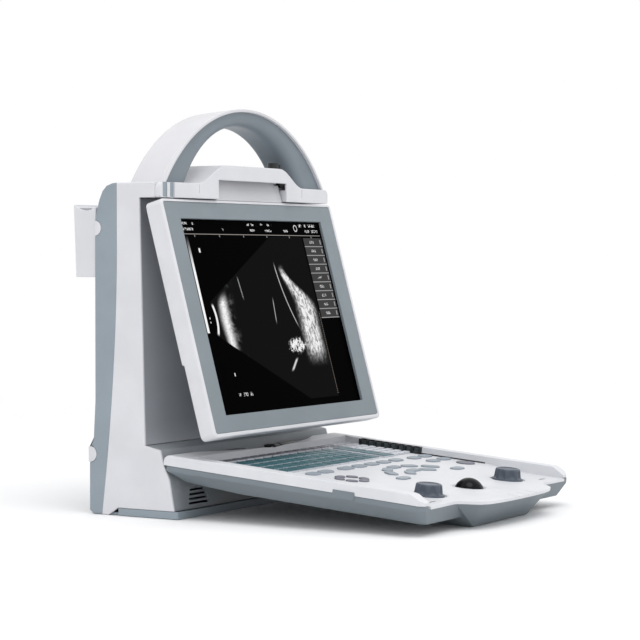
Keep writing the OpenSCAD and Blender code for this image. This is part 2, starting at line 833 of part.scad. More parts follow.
module ball_ring() {
    color(WHITE) on_keyboard() translate([0, -knob_u, -front_drop]) difference() {
        union() {
            translate([0, 0, -7]) cylinder(r = 17, h = 7.6, $fn = 64);
            translate([0, 0, -15]) cylinder(r = 17, h = 8, $fn = 64);
        }
        translate([0, 0, -5.4]) sphere(r = ball_r + gap, $fn = 64);
        translate([0, 0, -1.2]) cylinder(r1 = 13.4, r2 = 15.6, h = 2, $fn = 64);
    }
}

module trackball() {
    color(BLACK) on_keyboard() translate([0, -knob_u, -5.4 - front_drop]) sphere(r = ball_r, $fn = 96);
}

module knob() {
    color(DARK_GREY) difference() {
        union() {
            cylinder(r = 14.6, h = 1.6, $fn = 72);
            translate([0, 0, 1.6]) cylinder(r1 = 12.6, r2 = 11.4, h = 9.2, $fn = 72);
            translate([0, 0, -6]) cylinder(r = 4.8, h = 6, $fn = 48);
        }
        for (a = [0:45:315]) {
            rotate(a) translate([15.2, 0, 1.6]) cylinder(r = 4.6, h = 12, $fn = 32);
        }
    }
}
module knob_left() {
    on_keyboard() translate([-knob_x, -knob_u, -0.3 - front_drop]) knob();
}
module knob_right() {
    on_keyboard() translate([knob_x, -knob_u, -0.3 - front_drop]) knob();
}

module keys_function() {
    color(DARK_GREY) key_solids(key_rise) function_keys(0);
}
module keys_row(row) {
    color(TEAL) key_solids(key_rise) letter_keys(row, 0);
}
module keys_small() {
    color(WHITE) key_solids(key_rise) small_keys(0);
}
module keys_oval() {
    color(PALE) key_solids(low_rise) oval_keys(0);
}
module keys_arc() {
    color(PALE) key_solids(low_rise) arc_keys(0);
}
module keys_cursor() {
    color(DARK_GREY) key_solids(low_rise) cursor_keys(0);
}

front_shell();
rear_shell();
recess_panel();
base_plate();
base_pads();
hood_cover();
handle_shell();
handle_grip();
rear_bumpers();
probe_holder();
fuse_cap();
mains_inlet();
power_rocker();
video_jack();
earth_post();
probe_ports();
fan_frame();
fan_rotor();
main_board();
power_supply();
shell_screws();
keyboard_brackets();
keyboard_pins();
screen_pin();
top_jack();
latch_slide();
screen_shell();
screen_bezel();
screen_back();
lcd_panel();
lcd_frame();
screen_board();
hinge_block();
keyboard_top();
keyboard_base();
keyboard_board();
keyboard_knuckles();
tgc_housing();
finger_tab();
ball_ring();
trackball();
knob_left();
knob_right();
tgc_slider(1);  // tgc_slider_1
tgc_slider(2);  // tgc_slider_2
tgc_slider(3);  // tgc_slider_3
tgc_slider(4);  // tgc_slider_4
tgc_slider(5);  // tgc_slider_5
tgc_slider(6);  // tgc_slider_6
tgc_slider(7);  // tgc_slider_7
tgc_slider(8);  // tgc_slider_8
keys_function();
keys_row(1);  // keys_row_1
keys_row(2);  // keys_row_2
keys_row(3);  // keys_row_3
keys_row(4);  // keys_row_4
keys_small();
keys_oval();
keys_arc();
keys_cursor();
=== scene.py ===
# Looks of the portable ultrasound scanner: soft-edged mouldings, key caps, knobs,
# the lit display and every plastic and metal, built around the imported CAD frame.
import json
import math

import bmesh
import bpy
from mathutils import Matrix, Vector

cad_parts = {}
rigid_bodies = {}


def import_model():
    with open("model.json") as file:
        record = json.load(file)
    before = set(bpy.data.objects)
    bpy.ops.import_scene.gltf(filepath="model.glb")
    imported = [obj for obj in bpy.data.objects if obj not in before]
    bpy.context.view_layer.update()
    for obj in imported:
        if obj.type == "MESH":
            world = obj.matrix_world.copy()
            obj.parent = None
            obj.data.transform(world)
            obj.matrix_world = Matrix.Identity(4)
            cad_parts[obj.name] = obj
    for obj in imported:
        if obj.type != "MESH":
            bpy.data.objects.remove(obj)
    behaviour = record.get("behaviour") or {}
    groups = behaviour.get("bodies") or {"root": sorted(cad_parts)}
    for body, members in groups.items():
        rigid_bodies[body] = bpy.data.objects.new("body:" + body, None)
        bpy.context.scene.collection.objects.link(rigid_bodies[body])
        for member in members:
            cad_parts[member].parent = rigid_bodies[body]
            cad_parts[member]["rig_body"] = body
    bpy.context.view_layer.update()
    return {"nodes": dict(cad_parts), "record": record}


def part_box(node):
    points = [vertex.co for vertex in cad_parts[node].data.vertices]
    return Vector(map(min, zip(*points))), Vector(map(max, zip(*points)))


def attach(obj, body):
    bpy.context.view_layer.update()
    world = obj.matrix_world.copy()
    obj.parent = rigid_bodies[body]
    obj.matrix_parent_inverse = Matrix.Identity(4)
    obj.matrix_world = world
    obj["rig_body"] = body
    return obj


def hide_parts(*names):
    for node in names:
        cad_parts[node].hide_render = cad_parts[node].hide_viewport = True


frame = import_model()
NODES = frame["nodes"]
SLOT_OF = {part["node"]: part["material_slot"] for part in frame["record"]["subparts"]}
BODY_OF = {name: node["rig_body"] for name, node in NODES.items()}
MM = 0.001


def tilted(origin, degrees):
    """Axes that lean about X by some degrees, at origin."""
    return Matrix.Translation(origin) @ Matrix.Rotation(math.radians(degrees), 4, "X")


# Screen: origin on the display's top edge, X right, Y into it, Z up along it
SCREEN = tilted((0, -0.0375, 0.272), -15.54)
DISPLAY_LEFT = -0.1229
# Keyboard: origin on its hinge, X right, Y to the back, Z out of the deck
KEYBOARD = tilted((0, -0.0415, 0.0505), 4.8)
HALF_W = 0.1466
TOP_Z = 0.3045
# How far the keyboard's front lies below its key field, in millimetres
FRONT_DROP = 3


# ------------------------------------------------------------------ shaders
class Sock:
    """A shader value that takes part in ordinary arithmetic."""

    def __init__(self, tree, socket):
        self.tree, self.socket = tree, socket

    def node(self, kind, *values):
        n = self.tree.nodes.new("ShaderNodeMath")
        n.operation = kind
        for slot, value in zip(n.inputs, (self, *values)):
            if isinstance(value, Sock):
                self.tree.links.new(value.socket, slot)
            else:
                slot.default_value = value
        return Sock(self.tree, n.outputs[0])

    def __add__(self, other):
        return self.node("ADD", other)

    def __sub__(self, other):
        return self.node("SUBTRACT", other)

    def __mul__(self, other):
        return self.node("MULTIPLY", other)

    def __truediv__(self, other):
        return self.node("DIVIDE", other)

    def power(self, other):
        return self.node("POWER", other)

    def least(self, other):
        return self.node("MINIMUM", other)

    def fract(self):
        return self.node("FRACT")

    def floor(self):
        return self.node("FLOOR")

    def size(self):
        return self.node("ABSOLUTE")

    def ramp(self, low, high, start=0.0, end=1.0):
        """Smooth change from start to end as the value goes from low to high."""
        n = self.tree.nodes.new("ShaderNodeMapRange")
        n.interpolation_type = "SMOOTHSTEP"
        self.tree.links.new(self.socket, n.inputs["Value"])
        for name, value in (("From Min", low), ("From Max", high),
                            ("To Min", start), ("To Max", end)):
            n.inputs[name].default_value = value
        return Sock(self.tree, n.outputs[0])

    def within(self, low, high, soft=0.15):
        """1 between low and high, 0 outside, with soft borders."""
        return self.ramp(low - soft, low + soft) * self.ramp(high - soft, high + soft, 1.0, 0.0)

    def peak(self, centre, width):
        """1 at centre, falling to 0 at width to either side."""
        return ((self - centre) / width).size().ramp(0.0, 1.0, 1.0, 0.0)


class Paint:
    """A material under construction."""

    def __init__(self, name):
        self.material = bpy.data.materials.new(name)
        self.material.use_nodes = True
        self.tree = self.material.node_tree
        self.shader = self.tree.nodes["Principled BSDF"]
        self.coordinates = self.tree.nodes.new("ShaderNodeTexCoord").outputs["Object"]

    def stretched(self, scale):
        n = self.tree.nodes.new("ShaderNodeMapping")
        n.inputs["Scale"].default_value = scale
        self.tree.links.new(self.coordinates, n.inputs["Vector"])
        return n.outputs[0]

    def noise(self, scale, detail=2.0, roughness=0.5, source=None, distortion=0.0):
        n = self.tree.nodes.new("ShaderNodeTexNoise")
        n.inputs["Scale"].default_value = scale
        n.inputs["Detail"].default_value = detail
        n.inputs["Roughness"].default_value = roughness
        n.inputs["Distortion"].default_value = distortion
        self.tree.links.new(source or self.coordinates, n.inputs["Vector"])
        return Sock(self.tree, n.outputs["Fac"])

    def cells(self, scale, source=None, feature="F1"):
        n = self.tree.nodes.new("ShaderNodeTexVoronoi")
        n.feature = feature
        n.inputs["Scale"].default_value = scale
        self.tree.links.new(source or self.coordinates, n.inputs["Vector"])
        return Sock(self.tree, n.outputs["Distance"])

    def vector(self, x, y, z=0.0):
        n = self.tree.nodes.new("ShaderNodeCombineXYZ")
        for slot, value in zip(n.inputs, (x, y, z)):
            if isinstance(value, Sock):
                self.tree.links.new(value.socket, slot)
            else:
                slot.default_value = value
        return n.outputs[0]

    def random(self, source):
        n = self.tree.nodes.new("ShaderNodeTexWhiteNoise")
        self.tree.links.new(source, n.inputs["Vector"])
        return Sock(self.tree, n.outputs["Value"])

    def dot(self, direction, offset):
        """Distance along a direction from offset, in millimetres."""
        n = self.tree.nodes.new("ShaderNodeVectorMath")
        n.operation = "DOT_PRODUCT"
        n.inputs[1].default_value = direction
        self.tree.links.new(self.coordinates, n.inputs[0])
        return (Sock(self.tree, n.outputs["Value"]) - offset) * 1000.0

    def blend(self, share, first, second):
        """Colour that goes from first to second as share goes from 0 to 1."""
        n = self.tree.nodes.new("ShaderNodeMix")
        n.data_type = "RGBA"
        self.tree.links.new(share.socket, n.inputs["Factor"])
        for slot, value in ((n.inputs[6], first), (n.inputs[7], second)):
            if isinstance(value, tuple):
                slot.default_value = (*value, 1.0)
            else:
                self.tree.links.new(value, slot)
        return n.outputs[2]

    def per_island(self):
        """A random value for each separate shell of the mesh."""
        n = self.tree.nodes.new("ShaderNodeNewGeometry")
        return Sock(self.tree, n.outputs["Random Per Island"])

    def set(self, **values):
        for name, value in values.items():
            slot = self.shader.inputs[name.replace("_", " ")]
            if isinstance(value, Sock):
                self.tree.links.new(value.socket, slot)
            elif isinstance(value, bpy.types.NodeSocket):
                self.tree.links.new(value, slot)
            else:
                slot.default_value = value

    def bump(self, height, distance, strength):
        n = self.tree.nodes.new("ShaderNodeBump")
        n.inputs["Strength"].default_value = strength
        n.inputs["Distance"].default_value = distance
        self.tree.links.new(height.socket, n.inputs["Height"])
        self.tree.links.new(n.outputs[0], self.shader.inputs["Normal"])


def shade(color, factor):
    return tuple(min(1.0, c * factor) for c in color)


def moulded(name, color, rough=0.5, grain=0.25, tone=0.03, islands=0.0,
            accent=None):
    """Moulded plastic: fine spark texture, slow tone changes, handled and dusty patches.
    accent is (second colour, function that gives where it goes)."""
    p = Paint(name)
    spark = p.noise(2600, 3.0, 0.65)
    cloud = p.noise(26, 3.0)
    share = cloud.ramp(0.3, 0.7)
    if islands:
        share = (share * 0.4 + p.per_island() * islands).least(1.0)
    body = p.blend(share, shade(color, 1 - tone), shade(color, 1 + tone))
    if accent:
        second, where = accent
        tint = p.blend(cloud.ramp(0.3, 0.7), shade(second, 1 - tone), shade(second, 1 + tone))
        body = p.blend(where(p), body, tint)
    speckle = p.noise(900, 2.0).ramp(0.62, 0.75, 0.0, 0.22)
    body = p.blend(speckle, body, shade(color, 0.9))
    handled = p.noise(48, 5.0, 0.62, distortion=0.4).ramp(0.56, 0.72, 0.0, 0.12)
    body = p.blend(handled, body, shade(color, 1.12))
    dust = p.noise(75, 6.0, 0.7).ramp(0.60, 0.74, 0.0, 0.10)
    body = p.blend(dust, body, shade(color, 0.82))
    smear = p.noise(14, 5.0, 0.6, source=p.stretched((1.0, 1.0, 2.2)))
    p.set(Base_Color=body,
          Roughness=smear.ramp(0.3, 0.75, rough - 0.06, rough + 0.07) + spark * 0.04)
    p.bump(spark, grain * 0.0001, 0.55)
    return p.material


def metal(name, color, rough, brush=(1.0, 1.0, 1.0), scratches=0.3, coat=0.0):
    """Bare or plated metal with fine scratches, which brush can press together along an axis."""
    p = Paint(name)
    lines = p.noise(900, 4.0, 0.6, source=p.stretched(brush))
    cloud = p.noise(40, 3.0)
    body = p.blend(cloud.ramp(0.3, 0.7), shade(color, 0.9), shade(color, 1.05))
    p.set(Base_Color=body, Metallic=1.0, Coat_Weight=coat,
          Roughness=lines.ramp(0.3, 0.7, rough - 0.06, rough + 0.08))
    p.bump(lines, scratches * 0.00005, 0.5)
    return p.material


def circuit_board(name):
    """Solder mask over copper tracks, with vias and pads."""
    p = Paint(name)
    grid = p.stretched((1.0, 0.6, 1.0))
    tracks = p.cells(420, source=grid, feature="DISTANCE_TO_EDGE").ramp(0.02, 0.06, 1.0, 0.0)
    pads = p.cells(240).ramp(0.12, 0.16, 1.0, 0.0)
    body = p.blend(tracks, (0.012, 0.10, 0.045), (0.03, 0.22, 0.10))
    body = p.blend(pads, body, (0.62, 0.45, 0.16))
    p.set(Base_Color=body, Roughness=pads.ramp(0.0, 1.0, 0.38, 0.25) + p.noise(60) * 0.08)
    p.bump(tracks + pads, 0.00004, 0.6)
    return p.material


def rubber(name):
    """Matt black rubber with a coarse grain."""
    p = Paint(name)
    body = p.blend(p.noise(120, 4.0).ramp(0.3, 0.7), (0.02, 0.02, 0.021), (0.045, 0.045, 0.046))
    grain = p.noise(1800, 4.0, 0.7)
    p.set(Base_Color=body, Roughness=grain.ramp(0.2, 0.8, 0.72, 0.92))
    p.bump(grain, 0.00008, 0.7)
    return p.material


def ball_finish(name):
    """Polished black resin with faint buried flecks and hairline scuffs."""
    p = Paint(name)
    flecks = p.cells(900).ramp(0.03, 0.09, 1.0, 0.0) * p.noise(160).ramp(0.5, 0.6)
    body = p.blend(flecks, (0.006, 0.006, 0.008), (0.10, 0.10, 0.12))
    scuffs = p.noise(500, 5.0, 0.7, source=p.stretched((1.0, 6.0, 1.0)))
    p.set(Base_Color=body, Roughness=scuffs.ramp(0.5, 0.8, 0.12, 0.25), IOR=1.22)
    p.bump(scuffs, 0.000004, 0.3)
    return p.material


def lit_display(name):
    """Anti-glare display showing a sector scan, a grey wedge, a header line and a menu column.
    x runs right and s runs down from the display's top left corner, in millimetres."""
    p = Paint(name)
    down = SCREEN.to_3x3() @ Vector((0, 0, -1))
    x = p.dot((1, 0, 0), DISPLAY_LEFT)
    s = p.dot(down, SCREEN.translation.dot(down))

    def area(x0, x1, s0, s1, soft=0.15):
        return x.within(x0, x1, soft) * s.within(s0, s1, soft)

    def marks(x0, x1, s0, s1, density=0.5):
        """Little bright blocks in a row, too coarse to be letters."""
        cell = 0.8
        spot = p.vector((x / cell).floor(), (s / (cell * 0.8)).floor())
        gaps = p.random(p.vector((x / (cell * 5)).floor(), s0)).ramp(0.3, 0.31)
        return area(x0, x1, s0, s1) * p.random(spot).ramp(density, density + 0.05) * gaps

    # sector: apex left of the display, opening to the right; r in millimetres, a in degrees
    apex_x, apex_s = -11.7, 94.5
    first_r, half_angle = 34.8, 26.2
    dx, ds = x - apex_x, s - apex_s
    r = (dx * dx + ds * ds).power(0.5)
    a = ds.node("ARCTAN2", dx) * math.degrees(1)
    inside = r.ramp(first_r, first_r + 0.3) * a.size().ramp(half_angle, half_angle + 0.3, 1.0, 0.0)
    inside = inside * x.ramp(206.6, 206.9, 1.0, 0.0) * s.within(15.5, 177.0)
    fibres = p.noise(1.0, 6.0, 0.72, source=p.vector(r * 0.28, a * 0.55), distortion=0.6)
    speckle = p.noise(1.0, 3.0, 0.8, source=p.vector(r * 1.3, a * 2.6, 4.0))
    patches = p.noise(1.0, 4.0, 0.6, source=p.vector(r * 0.07, a * 0.12, 9.0))
    near_face = r.within(35.4, 38.4, 0.5) * a.within(-21.0, 24.0, 3.0)
    bow = a * a * 0.012
    near = (r - bow).peak(51.5, 12.5) * a.ramp(-26.0, -14.0) * (fibres * 1.5 + 0.15)
    drift = (r - a * a * 0.02).peak(62.0, 12.0) * patches.ramp(0.42, 0.7) * speckle * 0.5
    spread = (x - s.ramp(46.0, 88.0, 155.0, 185.0)) / s.ramp(46.0, 92.0, 6.0, 23.0)
    far = spread.size().ramp(0.25, 1.0, 1.0, 0.0)
    far = far * s.ramp(42.0, 56.0) * s.ramp(122.0, 148.0, 1.0, 0.0)
    far = far * (fibres.ramp(0.32, 0.68) * 0.9 + speckle * 0.45)
    far = far * (x - s * 0.1).ramp(206.0, 186.0)
    wall = (x - 143.0 - (s - 50.0) * 0.30 - ((s - 74.0) / 24.0).power(2.0) * 2.0).peak(0.0, 1.4)
    wall = wall * s.within(44.0, 104.0, 5.0) * speckle.ramp(0.25, 0.5)
    inner = (x - 126.0 + (s - 92.0) * 0.12).peak(0.0, 1.1) * s.within(78.0, 100.0, 4.0)
    rough = p.noise(1.0, 4.0, 0.7, source=p.vector(x * 0.14, s * 0.14, 2.0)) * 26.0 - 13.0
    knot = ((x - 152.0 + rough) / 17.0).power(2.0) + ((s - 124.0 - rough * 0.5) / 9.0).power(2.0)
    knot = knot.ramp(0.1, 1.0, 1.0, 0.0) * fibres.ramp(0.42, 0.55) * 1.6
    streak = (x - 143.0 + (s - 140.0) * 1.1).peak(0.0, 3.4) * s.within(137.0, 148.0, 2.0)
    short = (x - 76.0 - (s - 66.0) * 0.12).peak(0.0, 1.3) * s.within(56.0, 76.0, 3.0)
    short = short * speckle.ramp(0.4, 0.55)
    echo = near_face + near * 1.1 + drift + far * 1.25 + wall * 0.8 + inner * 0.7
    echo = echo + knot + streak * 0.9 + short * 0.8
    picture = inside * (echo.power(1.5).least(1.0) * 0.95 + 0.005)

    wedge = area(5.2, 8.8, 15.0, 107.5) * s.ramp(14.0, 52.0, 0.0, 1.0)
    ticks = ((x / 41.0).fract()).within(0.48, 0.51, 0.004) * s.within(14.6, 16.6)
    header = x.within(3.0, 243.0) * s.within(13.6, 14.2, 0.1) * 0.35 + ticks * 0.3
    texts = marks(3, 22, 2.6, 5.0)
    for place in ((3, 20, 8.0, 10.4), (60, 70, 8.0, 10.2), (112, 128, 2.6, 5.0),
                  (136, 156, 2.6, 5.0), (116, 124, 8.4, 10.6), (142, 154, 8.4, 10.6),
                  (170, 186, 8.4, 10.6), (206, 240, 2.4, 5.2), (214, 240, 8.2, 10.8),
                  (33, 56, 165.0, 168.4)):
        texts = texts + marks(*place)
    ring = (((x - 199.0).power(2.0) + (s - 6.6).power(2.0)).power(0.5) - 3.0).size()
    texts = texts + ring.ramp(0.3, 0.7, 0.9, 0.0)
    spots = area(21.5, 24.0, 27.5, 31.5, 0.5) + area(33.0, 34.4, 146.0, 149.0, 0.4)
    spots = spots + area(13.6, 14.8, 93.0, 94.6, 0.3) + area(13.6, 14.8, 97.0, 98.4, 0.3)
    dotted = x.within(206.6, 207.2, 0.2) * s.within(92.0, 175.0) * (s / 2.1).fract().ramp(0.5, 0.6)

    menu_top, row_high, row_count = 16.5, 9.1, 9
    rows = (s - menu_top) / row_high
    menu_end = menu_top + row_count * row_high
    column = x.within(209.5, 243.5, 0.2) * s.within(menu_top, menu_end, 0.2)
    rule = rows.fract().within(0.90, 0.99, 0.02)
    label = marks(211, 229, menu_top, 98.0, 0.55) * rows.fract().within(0.3, 0.6, 0.02)
    arrow = x.within(239.6, 241.4, 0.2) * rows.fract().within(0.2, 0.7, 0.02)
    menu = column * (rule * 0.32 + label * 0.55 + arrow * 0.3 + 0.055)

    light = picture + wedge + header + texts * 0.8 + spots * 0.9 + dotted * 0.45 + menu
    warm = p.blend((header + dotted).least(1.0), (1.0, 1.0, 1.0), (1.0, 0.78, 0.62))
    grain = p.noise(3200, 2.0)
    p.set(Base_Color=p.blend(grain, (0.0004, 0.0004, 0.0005), (0.0008, 0.0008, 0.001)),
          Roughness=grain.ramp(0.2, 0.8, 0.30, 0.38), IOR=1.03,
          Emission_Color=warm, Emission_Strength=light.least(1.0) * 0.95)
    p.bump(grain, 0.000006, 0.3)
    return p.material


def key_top(node):
    """Height of a key node's top above the hinge plane, in metres."""
    return max((KEYBOARD.inverted() @ v.co).z for v in NODES[node].data.vertices)


def skirt_of(node, below):
    """Share of a two-shot key's lower part, from a height below its top down."""
    up = KEYBOARD.to_3x3() @ Vector((0, 0, 1))
    level = KEYBOARD.translation.dot(up) + key_top(node) - below * MM
    return lambda p: p.dot(up, level).ramp(-0.15, 0.1, 1.0, 0.0)


# Where the shade under the keyboard and screen is painted grey on the housing's front: half its
# width, its top and how far back it goes, in millimetres
STEP_HALF_W, STEP_TOP, STEP_BACK = 144.6, 66.2, -9.0


def painted_step_shade(p):
    """Painted shade on the housing's front: its low wall and the ledge above, between the sides,
    greyed where the keyboard and screen shade them.
    """
    across = p.dot((1, 0, 0), 0).within(-STEP_HALF_W, STEP_HALF_W, 0.1)
    under = p.dot((0, 0, 1), 0).ramp(STEP_TOP, STEP_TOP + 0.2, 1.0, 0.0)
    in_front = p.dot((0, 1, 0), 0).ramp(STEP_BACK, STEP_BACK + 1.0, 1.0, 0.0)
    return across * under * in_front


# Colours are linear; a paint is named after the material slot it fills
WHITE = (0.635, 0.64, 0.67)
# Painted shade: grey that stands for the shade on the front shell's low wall and ledge
STEP_SHADE_GREY = (0.30, 0.325, 0.35)
KEY_WHITE = (0.56, 0.575, 0.62)
PAINTS = {
    "white_plastic": moulded("white_plastic", WHITE, 0.46, 0.25),
    "handle_white": moulded("handle_white", (0.60, 0.60, 0.625), 0.44, 0.25),
    "hinge_plastic": moulded("hinge_plastic", (0.50, 0.505, 0.53), 0.5, 0.25),
    "grey_plastic": moulded("grey_plastic", (0.252, 0.300, 0.340), 0.5, 0.4),
    "grip_plastic": moulded("grip_plastic", (0.165, 0.198, 0.226), 0.42, 0.3),
    "panel_plastic": moulded("panel_plastic", (0.36, 0.38, 0.41), 0.55, 0.4),
    "bezel_plastic": moulded("bezel_plastic", (0.188, 0.224, 0.246), 0.48, 0.35),
    "tray_plastic": moulded("tray_plastic", (0.170, 0.202, 0.225), 0.5, 0.4),
    "deck_plastic": moulded("deck_plastic", (0.66, 0.67, 0.70), 0.42, 0.22),
    "pad_rubber": rubber("pad_rubber"),
    "black_plastic": moulded("black_plastic", (0.012, 0.013, 0.015), 0.42, 0.3, 0.1),
    "fan_plastic": moulded("fan_plastic", (0.02, 0.02, 0.022), 0.5, 0.3, 0.1),
    "nickel": metal("nickel", (0.72, 0.70, 0.66), 0.18, (1.0, 4.0, 1.0), 0.2, 0.2),
    "steel": metal("steel", (0.58, 0.58, 0.60), 0.30, (1.0, 1.0, 5.0)),
    "hinge_metal": moulded("hinge_metal", (0.03, 0.031, 0.034), 0.36, 0.2, 0.1),
    "case_metal": metal("case_metal", (0.62, 0.63, 0.64), 0.38, (4.0, 1.0, 1.0)),
    "board": circuit_board("board"),
    "display": lit_display("display"),
    "ball_gloss": ball_finish("ball_gloss"),
    "knob_plastic": moulded("knob_plastic", (0.062, 0.080, 0.108), 0.40, 0.3, 0.05),
    "slider_plastic": moulded("slider_plastic", (0.03, 0.045, 0.05), 0.38, 0.3, 0.06),
    "key_dark": moulded("key_dark", (0.13, 0.135, 0.165), 0.42, 0.2, 0.05, islands=0.6,
                        accent=(KEY_WHITE, skirt_of("keys_function", 0.5))),
    "key_teal": moulded("key_teal", (0.020, 0.098, 0.118), 0.40, 0.2, 0.07, islands=0.6,
                        accent=(KEY_WHITE, skirt_of("keys_row_2", 0.5))),
    "key_white": moulded("key_white", KEY_WHITE, 0.42, 0.2, 0.03, islands=0.6),
    "key_pale": moulded("key_pale", (0.26, 0.30, 0.345), 0.42, 0.2, 0.04, islands=0.6),
}
LOW_DARK = moulded("key_dark_low", (0.16, 0.165, 0.20), 0.42, 0.2, 0.05, islands=0.6)
# White with painted shade: the front shell's low wall and ledge are greyed where the keyboard and
# screen shade them
STEP_SHADED_WHITE = moulded("white_with_painted_step_shade", WHITE, 0.46, 0.25, accent=(STEP_SHADE_GREY, painted_step_shade))
for node_name, node in NODES.items():
    node.data.materials.clear()
    node.data.materials.append(PAINTS[SLOT_OF[node_name]])


# ------------------------------------------------------------- mesh helpers
# Points closer than this are one, in metres
WELD = 2e-6
# Edges sharper than this are rounded, in degrees
SHARP = 35
# Softened nodes are shaded smooth up to this angle, in degrees
CREASE = 24
# A neighbouring edge counts as going on straight from this cosine up
ALIGNED = 0.75
# Share of the next edge's length that a bevel may take
BEVEL_SHARE = 0.34
# How strongly larger faces decide a shared normal
AREA_PULL = 0.8


def placed(name, mesh, node=None, body=None, slot=None):
    """Turns a finished mesh into a piece that rides on a body and takes a slot's finish."""
    slot = slot or SLOT_OF[node]
    piece = bpy.data.objects.new(name, mesh)
    bpy.context.scene.collection.objects.link(piece)
    mesh.materials.clear()
    mesh.materials.append(PAINTS[slot])
    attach(piece, body or BODY_OF[node])
    if node:
        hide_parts(node)
    return piece


def welded(node):
    """A node's mesh with its triangles joined back into flat faces."""
    bm = bmesh.new()
    bm.from_mesh(NODES[node].data)
    bmesh.ops.remove_doubles(bm, verts=bm.verts, dist=WELD)
    bmesh.ops.dissolve_limit(bm, angle_limit=math.radians(0.5), verts=bm.verts, edges=bm.edges)
    return bm


def room_beside(edge):
    """How far a bevel may reach from an edge before it meets the next one."""
    along = (edge.verts[0].co - edge.verts[1].co).normalized()
    room = 1.0
    for vert in edge.verts:
        for other in vert.link_edges:
            if other is edge:
                continue
            way = (other.verts[0].co - other.verts[1].co).normalized()
            if abs(way.dot(along)) < ALIGNED:
                room = min(room, other.calc_length())
    return room * BEVEL_SHARE


def smoothed(mesh, angle=SHARP):
    """Smooth shading with creases at edges sharper than an angle in degrees."""
    mesh.shade_smooth()
    mesh.set_sharp_from_angle(angle=math.radians(angle))
    return mesh


def softened(node, width, rule=None, segments=3):
    """Replaces a node with a copy whose edges are rounded by width, or by rule(middle of edge),
    in millimetres."""
    bm = welded(node)
    weights = bm.edges.layers.float.new("bevel_weight_edge")
    widest = width
    wanted = {}
    for edge in bm.edges:
        if len(edge.link_faces) == 2 and edge.calc_face_angle(0) > math.radians(SHARP):
            mid = (edge.verts[0].co + edge.verts[1].co) / 2 / MM
            want = (rule(mid) if rule else width) * MM
            if want > 0:
                wanted[edge] = min(want, room_beside(edge))
                widest = max(widest, wanted[edge] / MM)
    for edge, want in wanted.items():
        edge[weights] = want / (widest * MM)
    mesh = bpy.data.meshes.new(node + "_soft")
    bm.to_mesh(mesh)
    bm.free()
    for stale in ("custom_normal", "sharp_edge", "sharp_face"):
        if stale in mesh.attributes:
            mesh.attributes.remove(mesh.attributes[stale])
    smoothed(mesh, SHARP)
    piece = bpy.data.objects.new(node + "_soft", mesh)
    bpy.context.scene.collection.objects.link(piece)
    bevel = piece.modifiers.new("round", "BEVEL")
    bevel.limit_method = "WEIGHT"
    bevel.width = widest * MM
    bevel.segments = segments
    bevel.use_clamp_overlap = False
    final = bpy.data.meshes.new_from_object(
        piece.evaluated_get(bpy.context.evaluated_depsgraph_get()))
    bpy.data.objects.remove(piece)
    low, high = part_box(node)
    bm = bmesh.new()
    bm.from_mesh(final)
    for vert in bm.verts:
        vert.co = [min(max(c, a), b) for c, a, b in zip(vert.co, low, high)]
    bmesh.ops.remove_doubles(bm, verts=bm.verts, dist=WELD)
    bmesh.ops.dissolve_degenerate(bm, dist=WELD, edges=bm.edges)
    bm.to_mesh(final)
    bm.free()
    final.name = node + "_soft"
    return placed(node + "_soft", flattened(final), node)


def flattened(mesh):
    """Smooth shading whose normals follow each corner's largest faces, so flats stay flat."""
    smoothed(mesh, CREASE)
    plain = [corner.vector.copy() for corner in mesh.corner_normals]
    sharp = {tuple(sorted(edge.vertices)) for edge in mesh.edges if edge.use_edge_sharp}
    owners = {}
    for face in mesh.polygons:
        for key in face.edge_keys:
            owners.setdefault(key, []).append(face.index)
    at_vertex = {}
    for face in mesh.polygons:
        for loop in face.loop_indices:
            at_vertex.setdefault(mesh.loops[loop].vertex_index, []).append((face.index, loop))
    for vertex, corners in at_vertex.items():
        group = {face: face for face, _ in corners}
        for face, _ in corners:
            for key in mesh.polygons[face].edge_keys:
                if vertex in key and key not in sharp:
                    for other in owners[key]:
                        old, new = group[other], group[face]
                        group = {k: new if v == old else v for k, v in group.items()}
        for face, loop in corners:
            total = Vector()
            for other, _ in corners:
                if group[other] == group[face]:
                    total += mesh.polygons[other].normal * mesh.polygons[other].area ** AREA_PULL
            if total.length > 1e-12 and total.normalized().dot(plain[loop]) > 0.5:
                plain[loop] = total.normalized()
    mesh.normals_split_custom_set(plain)
    return mesh


def from_rings(name, rings, caps=True, world=Matrix.Identity(4), mesh=None):
    """Skin over a stack of rings with the same number of points."""
    bm = bmesh.new()
    if mesh:
        bm.from_mesh(mesh)
    made = [[bm.verts.new(world @ Vector(q)) for q in ring] for ring in rings]
    n = len(rings[0])
    for low, high in zip(made, made[1:]):
        for i in range(n):
            j = (i + 1) % n
            bm.faces.new((low[i], low[j], high[j], high[i]))
    if caps:
        bm.faces.new(list(reversed(made[0])))
        bm.faces.new(made[-1])
    bmesh.ops.recalc_face_normals(bm, faces=bm.faces)
    mesh = mesh or bpy.data.meshes.new(name)
    bm.to_mesh(mesh)
    bm.free()
    return mesh


def curve(a, b, c, steps):
    """Points along the bend from a past b to c."""
    a, b, c = Vector(a), Vector(b), Vector(c)
    return [(a * (1 - t) ** 2 + b * 2 * t * (1 - t) + c * t ** 2)[:]
            for t in (i / steps for i in range(steps + 1))]


def corner(a, b, c, radius):
    """Points that round the corner at b."""
    a, b, c = Vector(a), Vector(b), Vector(c)
    back, on = (a - b).normalized(), (c - b).normalized()
    reach = radius / math.tan(back.angle(on) / 2)
    return curve(b + back * reach, b, b + on * reach, 4)


def rounded(points, radii):
    """Closed outline whose corners are rounded by the radii."""
    out = []
    for i, point in enumerate(points):
        out += corner(points[i - 1], point, points[(i + 1) % len(points)], radii[i])
    return out


